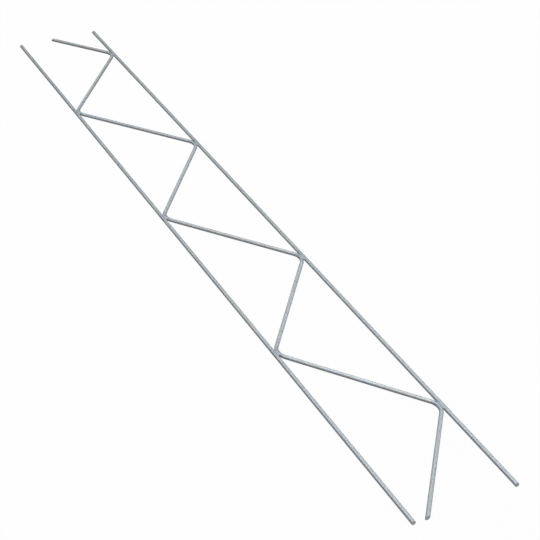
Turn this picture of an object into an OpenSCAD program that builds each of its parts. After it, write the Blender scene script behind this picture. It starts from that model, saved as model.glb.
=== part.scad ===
// Truss-type masonry joint reinforcement: two straight side rods and one
// continuous diagonal wire, bent to a zigzag between them in the same plane and
// resistance-welded to their inner sides at every bend. One length lies flat:
// X runs across it, Y along it and Z up, with the origin under its middle.

/* [Length] */
// Length of the piece, cut square through all three wires
overall_length = 1510; // [600:1:3100]
// Distance between two welds on the same side rod
weld_pitch = 406.4; // [300:0.1:500]
// From the far cut, at +Y, to the first bend, which is on the right side rod
first_bend = 114; // [20:1:200]

/* [Width] */
// Distance between the centre-lines of the two side rods
rod_spacing = 155; // [100:1:300]

/* [Wires] */
// Diameter of the side rods
side_rod_d = 6.2; // [3.7:0.05:6.5]
// Diameter of the diagonal wire
truss_rod_d = 6.2; // [3.7:0.05:6.5]
// Radius of each bend of the diagonal wire, at its centre-line
bend_radius = 23; // [12:0.5:30]
// How much thicker than the straight wire the upset wire is in a bend
bend_upset = 0.04; // [0.04:0.01:0.2]

/* [Welds] */
// How far the two wires are pressed into each other at a weld
weld_set_down = 0.3; // [0:0.05:0.6]
// Length of the fused seam along the side rod
weld_length = 12; // [6:0.5:20]
// Height of the fused seam
weld_height = 3; // [1.5:0.1:3.4]

/* [Hidden] */
$fn = 64;

galvanised = [0.70, 0.74, 0.77];
// How far a leg reaches into the bend at each of its ends, inside the thicker wire
leg_lap = 0.5;
// Radius of the fused seam at its two tips, and how far its full height reaches
// to each side of its middle
seam_tip = weld_height / 6;
seam_shoulder = weld_length / 4;

half_pitch = weld_pitch / 2;
// Bends that lie within the length, by turns on the right and the left rod
bend_count = floor((overall_length - first_bend) / half_pitch) + 1;

bend_d = truss_rod_d + bend_upset;
// The centre-lines of all three wires lie at this height
axis_z = max(side_rod_d, bend_d) / 2;
// Centre-line and inner face of the right side rod
rod_x = rod_spacing / 2;
rod_face_x = rod_x - side_rod_d / 2;
// The diagonal's centre-line where it is pressed to the right side rod, and the
// centre of the bend there. The left side mirrors both.
seat_x = rod_face_x - bend_d / 2 + weld_set_down;
bend_centre_x = seat_x - bend_radius;

// A straight leg is the inner common tangent of two neighbouring bends
centre_distance = norm([2 * bend_centre_x, half_pitch]);
leg_length = sqrt(pow(centre_distance, 2) - pow(2 * bend_radius, 2));
// Angle between a leg and the side rods
leg_angle = atan2(2 * bend_centre_x, half_pitch) + asin(2 * bend_radius / centre_distance);

// Even bends are on the right side rod, odd ones on the left
function side_of(i) = i % 2 == 0 ? 1 : -1;
function bend_y(i) = overall_length / 2 - first_bend - i * half_pitch;

// A straight wire of the side rods' size, on the side rod's line
module rod_bar(side, length) {
    translate([side * rod_x, 0, axis_z])
        rotate([90, 0, 0])
            cylinder(h = length, d = side_rod_d, center = true);
}

// The arc of bend i, which bulges towards its side rod
module bend(i) {
    middle = side_of(i) > 0 ? 0 : 180;
    translate([side_of(i) * bend_centre_x, bend_y(i), axis_z])
        rotate([0, 0, middle - leg_angle])
            rotate_extrude(angle = 2 * leg_angle)
                translate([bend_radius, 0])
                    circle(d = bend_d);
}

// The straight leg between bend i and bend i + 1, which crosses the middle
// halfway between them
module leg(i) {
    translate([0, bend_y(i) - half_pitch / 2, axis_z])
        rotate([90, 0, -side_of(i) * leg_angle])
            cylinder(h = leg_length + 2 * leg_lap, d = truss_rod_d, center = true);
}

// The fused seam between bend i and its side rod, tapered to its ends
module weld_seam(i) {
    translate([side_of(i) * rod_face_x, bend_y(i), axis_z])
        rotate([90, 0, 0])
            rotate_extrude()
                polygon([
                    [0, -weld_length / 2],
                    [seam_tip, -weld_length / 2],
                    [weld_height / 2, -seam_shoulder],
                    [weld_height / 2, seam_shoulder],
                    [seam_tip, weld_length / 2],
                    [0, weld_length / 2],
                ]);
}

// The space between the two square cuts
module cut_length() {
    cube([2 * rod_spacing, overall_length, 4 * axis_z], center = true);
}

module left_side_rod() {
    color(galvanised)
        rod_bar(-1, overall_length);
}

module right_side_rod() {
    color(galvanised)
        rod_bar(1, overall_length);
}

// The zigzag runs one bend past each cut, is trimmed there, and is hollowed
// where it seats on the side rods
module truss_rod() {
    color(galvanised)
        difference() {
            intersection() {
                union() {
                    for (i = [-1 : bend_count])
                        bend(i);
                    for (i = [-1 : bend_count - 1])
                        leg(i);
                    for (i = [0 : bend_count - 1])
                        weld_seam(i);
                }
                cut_length();
            }
            for (side = [-1, 1])
                rod_bar(side, overall_length + weld_pitch);
        }
}

left_side_rod();
right_side_rod();
truss_rod();
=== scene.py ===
# %% [markdown]
# # Truss-type masonry joint reinforcement
# The real thing is laid in the mortar between two courses of blocks. Two straight
# side rods carry the load, and one long wire, bent to a zigzag, ties them together.
# A machine welds the zigzag to the side rods at every bend. The welded piece is then
# dipped in zinc, which keeps the rust away, and a shear cuts a length from it, square
# across all three wires.
#
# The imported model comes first. It is the fixed frame: everything below takes its
# place from it, in metres, with X across, Y along and Z up.

# %% Load the fixed frame
import math

import bmesh
import bpy
from mathutils import Matrix, Vector, noise


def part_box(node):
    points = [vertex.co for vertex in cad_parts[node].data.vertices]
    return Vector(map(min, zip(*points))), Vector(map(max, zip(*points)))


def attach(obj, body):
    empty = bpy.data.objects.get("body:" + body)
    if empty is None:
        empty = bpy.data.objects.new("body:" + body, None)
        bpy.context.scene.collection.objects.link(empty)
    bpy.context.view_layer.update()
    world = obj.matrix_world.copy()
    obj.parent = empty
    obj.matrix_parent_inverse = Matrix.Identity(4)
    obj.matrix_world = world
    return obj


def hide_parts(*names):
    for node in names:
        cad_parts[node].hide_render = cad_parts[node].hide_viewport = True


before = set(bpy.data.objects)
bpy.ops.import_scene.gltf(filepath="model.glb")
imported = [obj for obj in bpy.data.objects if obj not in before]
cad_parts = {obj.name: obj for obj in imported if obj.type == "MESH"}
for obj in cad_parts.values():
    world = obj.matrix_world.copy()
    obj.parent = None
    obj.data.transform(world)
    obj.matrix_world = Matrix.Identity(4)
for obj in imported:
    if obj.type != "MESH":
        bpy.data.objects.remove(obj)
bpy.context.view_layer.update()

print("CAD nodes:", sorted(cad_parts))

# %% [markdown]
# ## Sizes
# Most sizes are read from the frame, so that they can't drift from the solids. Four
# of them can't be read from a box and are stated here: the weld pitch, the place of
# the first bend, and the radius and the press depth of the bends. All the rest of
# the zigzag follows from those.

# %% Sizes of the wires
MM = 0.001

left_low, left_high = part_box("left_side_rod")
right_low, right_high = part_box("right_side_rod")

wire_radius = (left_high.x - left_low.x) / 2
rod_x = (right_high.x + right_low.x) / 2
axis_z = (left_high.z + left_low.z) / 2
far_y = left_high.y
near_y = left_low.y

WELD_PITCH = 406.4 * MM
FIRST_BEND = 114 * MM
BEND_RADIUS = 23 * MM
SET_DOWN = 0.3 * MM

print("wire diameter", round(2 * wire_radius / MM, 2), "mm, rods at x = +/-", round(rod_x, 5))

# %% [markdown]
# ## The path of the zigzag
# A bender makes every bend alike, so the whole path follows from one of them. Each
# straight leg is the inner common tangent of two neighbouring bends: its angle is
# the angle between the bends' centres, plus the angle that the tangent adds to it.

# %% Work out the legs and the bends
seat_x = rod_x - 2 * wire_radius + SET_DOWN
bend_centre_x = seat_x - BEND_RADIUS
half_pitch = WELD_PITCH / 2
centre_distance = math.hypot(2 * bend_centre_x, half_pitch)
leg_length = math.sqrt(centre_distance ** 2 - (2 * BEND_RADIUS) ** 2)
leg_angle = math.atan2(2 * bend_centre_x, half_pitch) + math.asin(2 * BEND_RADIUS / centre_distance)
bend_count = int((far_y - near_y - FIRST_BEND) // half_pitch) + 1


def side_of(i):
    """Even bends lie on the right rod, at +X, and odd ones on the left."""
    return 1 if i % 2 == 0 else -1


def bend_y(i):
    return far_y - FIRST_BEND - i * half_pitch


def leg_direction(i):
    """The way the wire runs when it leaves bend i, towards the near end."""
    return Vector((-side_of(i) * math.sin(leg_angle), -math.cos(leg_angle), 0))


def leg_start(i):
    """The middle of the wire where bend i ends and its straight leg begins."""
    return Vector((side_of(i) * (bend_centre_x + BEND_RADIUS * math.cos(leg_angle)),
                   bend_y(i) - BEND_RADIUS * math.sin(leg_angle), axis_z))


print(bend_count, "bends, and legs", round(leg_length, 4), "m long")
print("legs lie at", round(math.degrees(leg_angle), 2), "degrees to the rods")

# %% [markdown]
# ## Drawing a wire
# A round wire is a ring of points that travels. Extrude carries the ring straight
# on, and spin swings it round the centre of a bend. A curve with a round bevel would
# be quicker, but it can't tell a finish where it is on the wire. Here every ring
# also notes where it would lie on the wire before bending, in an attribute named
# straight. The zinc reads that, so its lines and streaks run round the bends with the
# wire, as they do on the real one.

# %% Helpers that carry a ring along
RING_SIDES = 40
LEG_STEP = 6 * MM
BEND_STEPS = 24


def start_ring(bm, place, along):
    """A ring in the plane of place's X and Y, ready to travel along its Z."""
    layer = bm.verts.layers.float_vector.new("straight")
    made = bmesh.ops.create_circle(bm, segments=RING_SIDES, radius=wire_radius, matrix=place)
    inverse = place.inverted()
    for vert in made["verts"]:
        x, y, _ = inverse @ vert.co
        vert[layer] = (x, y, along)
    return made["verts"]


def edges_of(ring):
    ring = set(ring)
    return [e for e in {e for v in ring for e in v.link_edges} if set(e.verts) <= ring]


def note_travel(bm, ring, old, distance):
    """The new ring lies that much further along the unbent wire than the old one."""
    layer = bm.verts.layers.float_vector["straight"]
    along = old[0][layer].z + distance
    for vert in ring:
        x, y, _ = vert[layer]
        vert[layer] = (x, y, along)


def carry_straight(bm, ring, step):
    made = bmesh.ops.extrude_edge_only(bm, edges=edges_of(ring))
    new = [g for g in made["geom"] if isinstance(g, bmesh.types.BMVert)]
    bmesh.ops.translate(bm, verts=new, vec=step)
    note_travel(bm, new, ring, step.length)
    return new


def carry_far(bm, ring, whole_step):
    """Cover a long straight stretch in short, equal steps."""
    count = max(1, round(whole_step.length / LEG_STEP))
    for _ in range(count):
        ring = carry_straight(bm, ring, whole_step / count)
    return ring


def carry_round(bm, ring, centre, angle):
    geometry = list(ring) + edges_of(ring)
    made = bmesh.ops.spin(bm, geom=geometry, cent=centre, axis=(0, 0, 1), dvec=(0, 0, 0),
                          angle=angle, steps=1, use_merge=False, use_duplicate=False)
    new = [g for g in made["geom_last"] if isinstance(g, bmesh.types.BMVert)]
    note_travel(bm, new, ring, abs(angle) * BEND_RADIUS)
    return new


flat_depth = wire_radius * (1 - math.cos(math.pi / RING_SIDES))
print("a ring of", RING_SIDES, "sides is round to", round(flat_depth / MM, 3), "mm")

# %% [markdown]
# ## Sheared ends
# The shear comes down across all three wires at once. Its blade first drags the top
# of each wire down with its zinc, which leaves a rounded lip there, then cuts, and
# at last tears the rest, so the lower rim stays sharp. The zigzag is cut at a slant,
# as its leg crosses the line of the cut. Sliding a ring along the wire until all its
# points touch the plane of the cut gives that slanted oval, with no slivers, which a
# cut with bisect_plane would leave. Two insets then give the rim its rounding.

# %% Close a wire with a sheared face
LIP_PULL = 0.5 * MM
LIP_LEAST = 0.05 * MM
LIP_WIDTHS = (0.3 * MM, 0.4 * MM)
LIP_ROOM = 0.9 * MM
LIP_ZINC = 0.3
BEVEL_PULL = 0.25


def ring_round(verts, inside=()):
    """The points one edge away from these, leaving out the ones inside."""
    verts = set(verts)
    return {e.other_vert(v) for v in verts for e in v.link_edges} - verts - set(inside)


def carry_to_plane(bm, ring, outwards, plane_y, sense):
    """Slide a new ring along the wire until all its points lie at y = plane_y."""
    made = bmesh.ops.extrude_edge_only(bm, edges=edges_of(ring))
    new = [g for g in made["geom"] if isinstance(g, bmesh.types.BMVert)]
    layer = bm.verts.layers.float_vector["straight"]
    for vert in new:
        slide = (plane_y - vert.co.y) / outwards.y
        vert.co += outwards * slide
        x, y, along = vert[layer]
        vert[layer] = (x, y, along + sense * slide)
    return new


def shear_end(bm, ring, outwards, cut_y, sense):
    """Carry the ring outwards to the plane y = cut_y and close it there."""
    # A ring just before the lip keeps the lip's soft shading off the wire
    ring = carry_to_plane(bm, ring, outwards, cut_y - math.copysign(LIP_ROOM, outwards.y), sense)
    ring = carry_to_plane(bm, ring, outwards, cut_y, sense)
    cap = bmesh.ops.holes_fill(bm, edges=edges_of(ring), sides=0)["faces"]
    for face in cap:
        face.material_index = 1
    for width in LIP_WIDTHS:
        bmesh.ops.inset_region(bm, faces=cap, thickness=width, depth=0, use_even_offset=True)
    # An inset moves a face's own points inwards and leaves new ones outside, so the
    # rings are found from the flat face outwards. The rim is dragged back most.
    flat = {v for f in cap for v in f.verts}
    bevel = ring_round(flat)
    rim = ring_round(bevel, flat)
    for verts, share in ((rim, 1), (bevel, BEVEL_PULL)):
        for vert in verts:
            height = max(0.0, (vert.co.z - axis_z) / wire_radius)
            vert.co -= outwards * share * (LIP_LEAST + (LIP_PULL - LIP_LEAST) * height ** 2)
    # The zinc goes over the lip with it, and down both sides
    for face in {f for v in rim for f in v.link_faces}:
        if face.calc_center_median().z > axis_z - LIP_ZINC * wire_radius:
            face.material_index = 0


print("lip rolled back by", LIP_PULL / MM, "mm on top and", LIP_LEAST / MM, "mm below")

# %% [markdown]
# ## Heat of the welds
# Every weld leaves its mark: where it has heated the steel, the zinc sets a little
# bluer and darker. An attribute named weld_heat holds how near a point is to a weld:
# one at the weld, and nothing a few centimetres away. The zinc reads it. Its name
# isn't just heat, as Cycles keeps that name for smoke, and would read nothing from the
# mesh.

# %% Where the welds are, and how far their heat reaches
HEAT_REACH = 13 * MM

weld_places = [Vector((side_of(i) * (rod_x - wire_radius), bend_y(i), axis_z))
               for i in range(bend_count)]


def note_heat(bm):
    layer = bm.verts.layers.float.new("weld_heat")
    for vert in bm.verts:
        nearest = min((vert.co - place).length for place in weld_places)
        vert[layer] = math.exp(-(nearest / HEAT_REACH) ** 2)


print("welds at y =", [round(place.y, 3) for place in weld_places])

# %% [markdown]
# ## From bmesh to object
# All pieces here are finished alike. The normals are made to point outwards, every
# point notes its heat, and the bmesh becomes a mesh with its finishes. Smooth shading
# rounds the forty flats of a wire, and edges sharper than 50 degrees stay crisp. The
# piece then rides on the imported model's one body.

# %% A mesh piece in the scene
SHARP_ANGLE = math.radians(50)


def add_piece(name, bm, materials):
    """Turn a finished bmesh into a smooth-shaded object at the origin."""
    bmesh.ops.recalc_face_normals(bm, faces=bm.faces[:])
    note_heat(bm)
    mesh = bpy.data.meshes.new(name)
    bm.to_mesh(mesh)
    bm.free()
    for material in materials:
        mesh.materials.append(material)
    mesh.shade_smooth()
    mesh.set_sharp_from_angle(angle=SHARP_ANGLE)
    piece = bpy.data.objects.new(name, mesh)
    bpy.context.scene.collection.objects.link(piece)
    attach(piece, "root")
    print(name, "has", len(mesh.polygons), "faces")
    return piece


# %% [markdown]
# ## Helpers for a finish
# A finish is a chain of shader nodes. A noise draws a pattern, Map Range keeps the
# useful part of it, Mix lays one colour over another with it, and Bump turns it into
# relief. Both finishes here are made of those links, so each link is a function. A
# node group would do as well, but a function is easier to read in a script.

# %% Start a finish and draw a pattern
def new_material(name):
    material = bpy.data.materials.new(name)
    material.use_nodes = True
    nodes = material.node_tree.nodes
    return material, nodes, material.node_tree.links, nodes["Principled BSDF"]


def squeezed_noise(nodes, links, source, across, along, detail, rough=0.5):
    """Noise with so many features per metre across the wire, and so many along it."""
    squeeze = nodes.new("ShaderNodeVectorMath")
    squeeze.operation = "MULTIPLY"
    squeeze.inputs[1].default_value = (across, across, along)
    links.new(source, squeeze.inputs[0])
    pattern = nodes.new("ShaderNodeTexNoise")
    pattern.inputs["Scale"].default_value = 1.0
    pattern.inputs["Detail"].default_value = detail
    pattern.inputs["Roughness"].default_value = rough
    links.new(squeeze.outputs[0], pattern.inputs["Vector"])
    return pattern.outputs["Fac"]


def spread(nodes, links, source, low, high, to_low, to_high):
    """Stretch the part of a noise between low and high over a new range."""
    node = nodes.new("ShaderNodeMapRange")
    node.interpolation_type = "SMOOTHSTEP"
    for socket, value in (("From Min", low), ("From Max", high), ("To Min", to_low), ("To Max", to_high)):
        node.inputs[socket].default_value = value
    links.new(source, node.inputs["Value"])
    return node.outputs["Result"]


print("noise at 160 per metre across the wire has spots", round(1 / 160 / MM, 1), "mm wide")


# %% Lay colours and bumps over one another
def blend_colour(nodes, links, factor, first, second, how="MIX"):
    node = nodes.new("ShaderNodeMix")
    node.data_type = "RGBA"
    node.blend_type = how
    for name, value in (("Factor", factor), ("A", first), ("B", second)):
        socket = node.inputs[name]
        if isinstance(value, (int, float)):
            socket.default_value = value
        elif isinstance(value, tuple):
            socket.default_value = value + (1,)
        else:
            links.new(value, socket)
    return node.outputs["Result"]


def add_scaled(nodes, links, source, factor, total=None):
    """Add source times factor to a running total, or start one."""
    node = nodes.new("ShaderNodeMath")
    node.operation = "MULTIPLY_ADD"
    links.new(source, node.inputs[0])
    node.inputs[1].default_value = factor
    node.inputs[2].default_value = 0
    if total:
        links.new(total, node.inputs[2])
    return node.outputs[0]


def stack_bumps(nodes, links, layers):
    """Bumps on one another, each a height source, how deep it is and how strong."""
    normal = None
    for height, depth, strength in layers:
        bump = nodes.new("ShaderNodeBump")
        bump.inputs["Distance"].default_value = depth
        bump.inputs["Strength"].default_value = strength
        links.new(height, bump.inputs["Height"])
        if normal:
            links.new(normal, bump.inputs["Normal"])
        normal = bump.outputs["Normal"]
    return normal


helpers = (blend_colour, add_scaled, stack_bumps)
print("ready to use:", ", ".join(helper.__name__ for helper in helpers))

# %% [markdown]
# ## The zinc coat
# The wire is drawn through dies, which leaves fine lines along it. After welding it is
# dipped in zinc, which runs a little before it sets. So the finish is a dull, slightly
# blue grey metal, with fine lines, a fine grain where the zinc froze, and brighter and
# duller patches, a few millimetres wide and up to some centimetres long. An image of
# zinc would repeat or blur. Here five noises read the attribute straight, each
# squeezed along the wire by its own amount. From afar only the long patches show. From
# near the specks, the grain and the lines come up as well. Towards the far end the
# colour is painted darker and less blue, as painted shade, and Y fades that in.
# Metallic stays one number on the shader, as zinc is metal all over, and the changes
# are left to colour, roughness and bump.

# %% The zinc itself
ZINC_COOL = (0.482, 0.532, 0.588)
ZINC_NEUTRAL = (0.506, 0.546, 0.553)
ZINC_DULL = (0.479, 0.516, 0.537)
ZINC_WELDED = (0.414, 0.472, 0.519)
# Painted shade: the colour the far end fades to, darker and less blue than the coat
ZINC_FAR_SHADE = (0.37, 0.387, 0.384)
FAR_SHADE_SHARE = 0.5
FAR_SHADE_FROM = 0.38


def make_zinc():
    material, nodes, links, shader = new_material("zinc_coat")
    on_wire = nodes.new("ShaderNodeAttribute")
    on_wire.attribute_name = "straight"
    warmth = nodes.new("ShaderNodeAttribute")
    warmth.attribute_name = "weld_heat"

    place = on_wire.outputs["Vector"]
    patches = squeezed_noise(nodes, links, place, 160, 55, 2.5)
    specks = squeezed_noise(nodes, links, place, 620, 210, 4, 0.6)
    grain = squeezed_noise(nodes, links, place, 3000, 1500, 4, 0.65)
    lines = squeezed_noise(nodes, links, place, 3800, 45, 3, 0.6)
    ripples = squeezed_noise(nodes, links, place, 420, 130, 3)

    patch = spread(nodes, links, patches, 0.36, 0.64, 0, 1)
    colour = blend_colour(nodes, links, patch, ZINC_COOL, ZINC_NEUTRAL)
    dull = spread(nodes, links, specks, 0.52, 0.72, 0, 0.75)
    colour = blend_colour(nodes, links, dull, colour, ZINC_DULL)
    parts = nodes.new("ShaderNodeSeparateXYZ")
    links.new(nodes.new("ShaderNodeTexCoord").outputs["Object"], parts.inputs[0])
    # Painted shade: the colour goes darker and less blue towards the far end
    far_shade = spread(nodes, links, parts.outputs["Y"], FAR_SHADE_FROM, far_y, 0, FAR_SHADE_SHARE)
    colour = blend_colour(nodes, links, far_shade, colour, ZINC_FAR_SHADE)
    heat = spread(nodes, links, warmth.outputs["Fac"], 0.05, 0.75, 0, 0.9)
    colour = blend_colour(nodes, links, heat, colour, ZINC_WELDED)
    shade = add_scaled(nodes, links, spread(nodes, links, grain, 0.3, 0.7, 0.86, 1.14), 0.6)
    shade = add_scaled(nodes, links, spread(nodes, links, lines, 0.3, 0.7, 0.86, 1.14), 0.4, shade)
    colour = blend_colour(nodes, links, 1.0, colour, shade, "MULTIPLY")
    links.new(colour, shader.inputs["Base Color"])

    rough = add_scaled(nodes, links, spread(nodes, links, patches, 0.3, 0.7, 0.44, 0.5), 1)
    rough = add_scaled(nodes, links, spread(nodes, links, specks, 0.5, 0.75, 0, 1), 0.09, rough)
    rough = add_scaled(nodes, links, spread(nodes, links, grain, 0.35, 0.7, 0, 1), 0.06, rough)
    links.new(rough, shader.inputs["Roughness"])

    relief = [(ripples, 0.04 * MM, 0.5), (lines, 0.02 * MM, 0.5), (grain, 0.02 * MM, 0.5)]
    links.new(stack_bumps(nodes, links, relief), shader.inputs["Normal"])

    shader.inputs["Metallic"].default_value = 1.0
    return material


zinc = make_zinc()
print("finish:", zinc.name, "with", len(zinc.node_tree.nodes), "nodes")

# %% [markdown]
# ## The sheared faces
# A sheared face is bare steel, with a trace of the zinc that the blade dragged over
# it, so it is duller and less blue than the coat. Where the blade cut, in its upper
# half, it is rubbed in upright lines, and below that, where the steel tore, it is
# lighter and grainy. Torn steel is so rough that it scatters light half as metal
# does and half as paper does, so Metallic is a half. One noise, squeezed upright,
# draws the rubbed lines, a second one the grain, and Z fades one into the other
# along a wavy line. The pattern doesn't follow the wire, as the blade came straight
# down, so it reads Object coordinates.

# %% Bare steel of the cuts
STEEL_RUBBED = (0.525, 0.55, 0.57)
STEEL_TORN = (0.58, 0.6, 0.615)
STEEL_GRAIN = (0.68, 0.695, 0.7)
TEAR_WAVE = 1.6 * MM
TEAR_FROM, TEAR_TO = 0.2 * MM, 1.2 * MM


def make_bare_steel():
    material, nodes, links, shader = new_material("sheared_steel")
    place = nodes.new("ShaderNodeTexCoord")
    rubbed = squeezed_noise(nodes, links, place.outputs["Object"], 5200, 260, 3)
    grain = squeezed_noise(nodes, links, place.outputs["Object"], 2600, 2600, 5, 0.65)
    parts = nodes.new("ShaderNodeSeparateXYZ")
    links.new(place.outputs["Object"], parts.inputs[0])
    wavy = squeezed_noise(nodes, links, place.outputs["Object"], 700, 100, 2)
    height = add_scaled(nodes, links, wavy, TEAR_WAVE, parts.outputs["Z"])
    cut_share = spread(nodes, links, height, axis_z + TEAR_FROM, axis_z + TEAR_TO, 0, 1)

    colour = blend_colour(nodes, links, cut_share, STEEL_TORN, STEEL_RUBBED)
    grain_share = spread(nodes, links, grain, 0.35, 0.7, 0, 0.5)
    colour = blend_colour(nodes, links, grain_share, colour, STEEL_GRAIN)
    links.new(colour, shader.inputs["Base Color"])
    links.new(spread(nodes, links, cut_share, 0, 1, 0.62, 0.46), shader.inputs["Roughness"])

    relief = blend_colour(nodes, links, cut_share, grain, rubbed)
    links.new(stack_bumps(nodes, links, [(relief, 0.1 * MM, 0.7)]), shader.inputs["Normal"])
    shader.inputs["Metallic"].default_value = 0.5
    return material


bare_steel = make_bare_steel()
print("finish:", bare_steel.name)

# %% [markdown]
# ## The side rods
# The two side rods are straight lengths of the same wire, one for each side of the
# mortar bed. Each one starts as a ring near its near end, is closed backwards with a
# sheared face, then travels to the far end and is closed there. Their places on the
# unbent wire start metres apart, and so do the zigzag's and the welds', so that no two
# of them wear the same pattern.

# %% Make the side rods
END_RUN = 9 * MM
LEFT_START = 11.0
RIGHT_START = 17.0


def make_side_rod(name, x, wire_start):
    bm = bmesh.new()
    towards_far = Vector((0, 1, 0))
    place = (Matrix.Translation((x, near_y + END_RUN, axis_z))
             @ towards_far.to_track_quat("Z", "X").to_matrix().to_4x4())
    first = start_ring(bm, place, wire_start)
    last = carry_far(bm, first, towards_far * (far_y - near_y - 2 * END_RUN))
    shear_end(bm, first, -towards_far, near_y, -1)
    shear_end(bm, last, towards_far, far_y, 1)
    return add_piece(name, bm, [zinc, bare_steel])


left_rod = make_side_rod("left_rod_wire", -rod_x, LEFT_START)
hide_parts("left_side_rod")
right_rod = make_side_rod("right_rod_wire", rod_x, RIGHT_START)
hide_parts("right_side_rod")

# %% [markdown]
# ## The zigzag
# This is one single wire, and the hardest piece to bend right: it must touch the
# left and the right rod in turn, at an even pitch. It could be seven pieces, one for
# each V, but then every bend would show a joint that the real wire doesn't have. So
# one ring makes the whole trip, leg by leg and bend by bend, from the cut at the far
# end, part of the way down the leg of a bend that was sheared off, to the near cut.

# %% Make the zigzag
ZIGZAG_START = 1.0


def make_truss_wire():
    bm = bmesh.new()
    # The leg before bend 0, from where it clears the far cut
    down = leg_direction(-1)
    leg_end = leg_start(-1) + down * leg_length
    clear = END_RUN + wire_radius * math.tan(leg_angle)
    beyond_cut = (far_y - leg_end.y) / -down.y
    first_place = leg_end - down * (beyond_cut - clear)
    place = Matrix.Translation(first_place) @ down.to_track_quat("Z", "X").to_matrix().to_4x4()
    first = start_ring(bm, place, ZIGZAG_START)
    ring = carry_far(bm, first, leg_end - first_place)
    for i in range(bend_count):
        side = side_of(i)
        centre = Vector((side * bend_centre_x, bend_y(i), axis_z))
        for _ in range(BEND_STEPS):
            ring = carry_round(bm, ring, centre, -side * 2 * leg_angle / BEND_STEPS)
        down = leg_direction(i)
        run = leg_length
        if i == bend_count - 1:
            run = (leg_start(i).y - near_y) / -down.y - clear
        ring = carry_far(bm, ring, down * run)
    shear_end(bm, first, -leg_direction(-1), far_y, -1)
    shear_end(bm, ring, down, near_y, 1)
    return add_piece("zigzag_wire", bm, [zinc, bare_steel])


zigzag = make_truss_wire()
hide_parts("truss_rod")

# %% [markdown]
# ## The welds
# The welder squeezes a bend against its rod and sends a current through them. The
# two wires sink into each other a little, and the soft steel swells out above and
# below and fills the groove between them. A ball squashed into the groove would
# show a hard edge all round. The real swelling runs smoothly into both wires, so
# its section is drawn here with an arc that touches both: where the circles of the
# two wires and the arc's own circle touch, they share a tangent. A ring of points
# takes that section at each station along the groove, and bridge_loops joins the
# rings. Where the bend leaves the rod, zinc has run together in the narrow gap, so
# the filled part is longer than the weld itself. It stays high for most of its length
# and ends bluntly, as a thin web would never have held.

# %% Section of a weld
WELD_HALF = 8.2 * MM
WELD_BLUNT = 0.38
WELD_STATIONS = 33
ARC_POINTS = 12
TOP_FILL = 0.84
BOTTOM_FILL = 0.7
ARC_SINK = 1.12
ARC_CLEAR = 0.02 * MM


def wire_apart(along):
    """From the rod's middle to the zigzag's, that far along from the bend's tip."""
    return rod_x - bend_centre_x - math.sqrt(BEND_RADIUS ** 2 - along ** 2)


def groove_arc(apart, crown):
    """Points of the arc that touches both wires and lies crown above their middle."""
    fillet = (crown ** 2 - wire_radius ** 2 + apart ** 2 / 4) / (2 * (wire_radius - crown))
    middle = Vector((apart / 2, crown + fillet))
    reach = math.atan2(apart / 2, middle.y)
    # The ends go a touch past the tangent points, down into the wires
    angles = [reach * ARC_SINK * (2 * k / (ARC_POINTS - 1) - 1) for k in range(ARC_POINTS)]
    return [middle - Vector((math.sin(a), math.cos(a))) * fillet for a in angles]


def shape_section(ring, side, at_y, along, fills):
    apart = wire_apart(along)
    natural = math.sqrt(max(0.0, wire_radius ** 2 - apart ** 2 / 4))
    taper = (1 - (along / WELD_HALF) ** 2) ** WELD_BLUNT
    crowns = (natural + (fill * wire_radius - natural) * taper + ARC_CLEAR for fill in fills)
    top, bottom = (groove_arc(apart, crown) for crown in crowns)
    outline = [(u, v) for u, v in top] + [(u, -v) for u, v in reversed(bottom)]
    for vert, (inward, up) in zip(ring, outline):
        vert.co = (side * (rod_x - inward), at_y + along, axis_z + up)


for along in (0, WELD_HALF):
    gap = max(0.0, wire_apart(along) - 2 * wire_radius)
    print("gap between the wires", round(along / MM, 1), "mm from the weld:", round(gap / MM, 2), "mm")

# %% Make the welds
TIP_SHARE = 0.97
RIPPLES_APART = 3.7
RIPPLES_ALONG = 420
TOP_RIPPLE = 0.035
BOTTOM_RIPPLE = 0.05
WELD_START = 30


def make_weld(i):
    bm = bmesh.new()
    layer = bm.verts.layers.float_vector.new("straight")
    side = side_of(i)
    rings = []
    for station in range(WELD_STATIONS):
        # Closer together towards the ends, where the swelling drops
        turn = math.pi / 2 * TIP_SHARE * (2 * station / (WELD_STATIONS - 1) - 1)
        along = WELD_HALF * math.sin(turn)
        ripple = noise.noise(Vector((i * RIPPLES_APART, along * RIPPLES_ALONG, 0.5)))
        fills = (TOP_FILL + TOP_RIPPLE * ripple, BOTTOM_FILL - BOTTOM_RIPPLE * ripple)
        ring = bmesh.ops.create_circle(bm, segments=2 * ARC_POINTS, radius=MM)["verts"]
        shape_section(ring, side, bend_y(i), along, fills)
        rings.append(ring)
    for ring, following in zip(rings, rings[1:]):
        bmesh.ops.bridge_loops(bm, edges=edges_of(ring) + edges_of(following))
    bmesh.ops.holes_fill(bm, edges=[e for e in bm.edges if e.is_boundary], sides=0)
    for vert in bm.verts:
        vert[layer] = (vert.co.x - side * rod_x, vert.co.z - axis_z, WELD_START + vert.co.y)
    return add_piece(f"weld_{i + 1}", bm, [zinc])


for i in range(bend_count):
    make_weld(i)

# %% [markdown]
# ## The camera
# A length like this is shown from one end and from above, turned a little to the
# left, with a long lens from about two metres. So its far end looks only slightly
# smaller than its near end. The camera is placed, aimed at a spot on the floor, and
# rolled by less than a degree.

# %% Place the camera
CAMERA_PLACE = Vector((-0.81487, -1.79035, 1.23982))
CAMERA_AIM = Vector((0.01294, -0.18213, 0.00312))
CAMERA_ROLL = math.radians(0.736)
LENS = 93.615
SENSOR_WIDTH = 36

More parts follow.
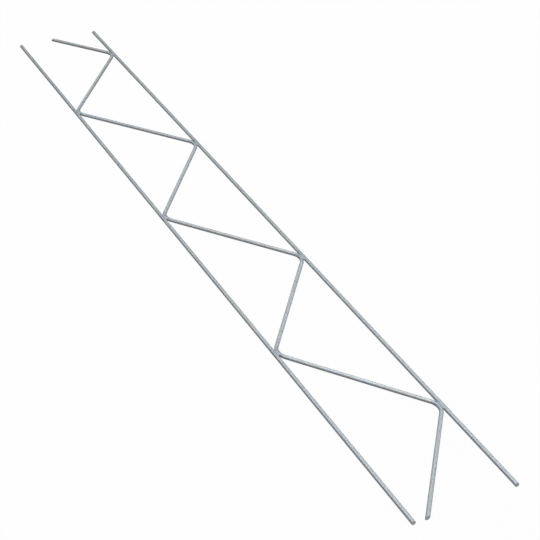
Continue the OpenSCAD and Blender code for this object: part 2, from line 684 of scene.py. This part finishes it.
camera_data = bpy.data.cameras.new("camera")
camera_data.lens = LENS
camera_data.sensor_width = SENSOR_WIDTH
camera = bpy.data.objects.new("camera", camera_data)
bpy.context.scene.collection.objects.link(camera)
look = (CAMERA_AIM - CAMERA_PLACE).to_track_quat("-Z", "Y").to_matrix().to_4x4()
camera.matrix_world = Matrix.Translation(CAMERA_PLACE) @ look @ Matrix.Rotation(CAMERA_ROLL, 4, "Z")
bpy.context.scene.camera = camera
print("camera", round((CAMERA_AIM - CAMERA_PLACE).length, 3), "m from its aim")

# %% [markdown]
# ## The floor
# The wires lie on a plain white sheet. Lit alone, a sheet never comes out evenly
# white, and more light on it would bleach the zinc. So Light Path shows the sheet to
# the camera as plain white, with a small share of the lit sheet left in it for the
# wires' shadows. Metal and glass see the plain sheet too, so that they don't mirror a
# black room. Metal sees it as grey, though: what a wire's lower side mirrors is the
# strip right beside it, which the wire itself keeps in the dark.

# %% Make the floor
FLOOR_HALF = 8
SHEET_WHITE = (0.8, 0.8, 0.8, 1)
PLAIN_SHARE = 0.95
SHEET_IN_METAL = 0.3


def make_floor_finish():
    material = bpy.data.materials.new("white_sheet")
    material.use_nodes = True
    nodes, links = material.node_tree.nodes, material.node_tree.links
    nodes.clear()
    out = nodes.new("ShaderNodeOutputMaterial")
    lit = nodes.new("ShaderNodeBsdfDiffuse")
    lit.inputs["Color"].default_value = SHEET_WHITE
    plain = nodes.new("ShaderNodeEmission")
    path = nodes.new("ShaderNodeLightPath")
    # How much of the sheet a ray sees as plain, and how bright the plain sheet is to it
    share, strength = None, None
    rays = (("Is Camera Ray", 1), ("Is Glossy Ray", SHEET_IN_METAL), ("Is Transmission Ray", 1))
    for ray, brightness in rays:
        share = add_scaled(nodes, links, path.outputs[ray], PLAIN_SHARE, share)
        strength = add_scaled(nodes, links, path.outputs[ray], brightness, strength)
    links.new(strength, plain.inputs["Strength"])
    mix = nodes.new("ShaderNodeMixShader")
    links.new(share, mix.inputs["Fac"])
    links.new(lit.outputs[0], mix.inputs[1])
    links.new(plain.outputs[0], mix.inputs[2])
    links.new(mix.outputs[0], out.inputs["Surface"])
    return material


bm = bmesh.new()
bmesh.ops.create_grid(bm, x_segments=1, y_segments=1, size=FLOOR_HALF)
floor_mesh = bpy.data.meshes.new("floor")
bm.to_mesh(floor_mesh)
bm.free()
floor_mesh.materials.append(make_floor_finish())
floor = bpy.data.objects.new("floor", floor_mesh)
bpy.context.scene.collection.objects.link(floor)
print("floor", 2 * FLOOR_HALF, "m wide")

# %% [markdown]
# ## The light
# Metal shows the room around it, so large soft lamps matter more than bright ones: a
# small lamp would draw one hard white line along each wire. The white world is the
# room's pale walls, and gives a third of the light. As with the sheet, Light Path
# shows it to the camera, and through glass, as plain white, so that a low view has
# no grey band above the far edge of the sheet. Metal sees the walls only as bright as
# they are, so that each wire keeps a bright side and a dark one. The rest of the light
# comes from six square softboxes, all at one distance and aimed at the wires: one
# overhead, three high up round the object, and two low ones, on the right and beyond
# the far end, which brighten the side of each wire that faces away. Together they give
# a plain level, at which a white sheet renders as white.

# %% Hang the softboxes
WALLS = 0.3
LAMP_DISTANCE = 3.5
LAMP_SIZE = 1.8
# name, degrees clockwise from the far end, degrees above the floor, watts
SOFTBOXES = [
    ("overhead", 0, 90, 39),
    ("far_right", 45, 45, 18),
    ("far_left", 315, 45, 18.6),
    ("front_left", 225, 45, 27),
    ("right_low", 90, 15, 20),
    ("far_low", 0, 15, 10),
]

world = bpy.data.worlds.new("pale_room")
world.use_nodes = True
nodes, links = world.node_tree.nodes, world.node_tree.links
walls = nodes["Background"]
walls.inputs["Color"].default_value = (1, 1, 1, 1)
path = nodes.new("ShaderNodeLightPath")
strength = nodes.new("ShaderNodeMath")
strength.operation = "MULTIPLY_ADD"
plain = add_scaled(nodes, links, path.outputs["Is Camera Ray"], 1)
plain = add_scaled(nodes, links, path.outputs["Is Transmission Ray"], 1, plain)
links.new(plain, strength.inputs[0])
strength.inputs[1].default_value = 1 - WALLS
strength.inputs[2].default_value = WALLS
links.new(strength.outputs[0], walls.inputs["Strength"])
bpy.context.scene.world = world

for name, heading, height, watts in SOFTBOXES:
    data = bpy.data.lights.new(name, "AREA")
    data.shape = "SQUARE"
    data.size = LAMP_SIZE
    data.energy = watts
    lamp = bpy.data.objects.new(name, data)
    bpy.context.scene.collection.objects.link(lamp)
    heading, height = math.radians(heading), math.radians(height)
    level = math.cos(height)
    away = Vector((level * math.sin(heading), level * math.cos(heading), math.sin(height)))
    lamp.location = away * LAMP_DISTANCE
    lamp.rotation_euler = (-away).to_track_quat("-Z", "Y").to_euler()
print(len(SOFTBOXES), "softboxes,", sum(box[3] for box in SOFTBOXES), "watts in all")

# %% [markdown]
# ## Finish
# Standard view keeps the colours as they are written.

# %% Keep the colours as written
bpy.context.scene.view_settings.view_transform = "Standard"
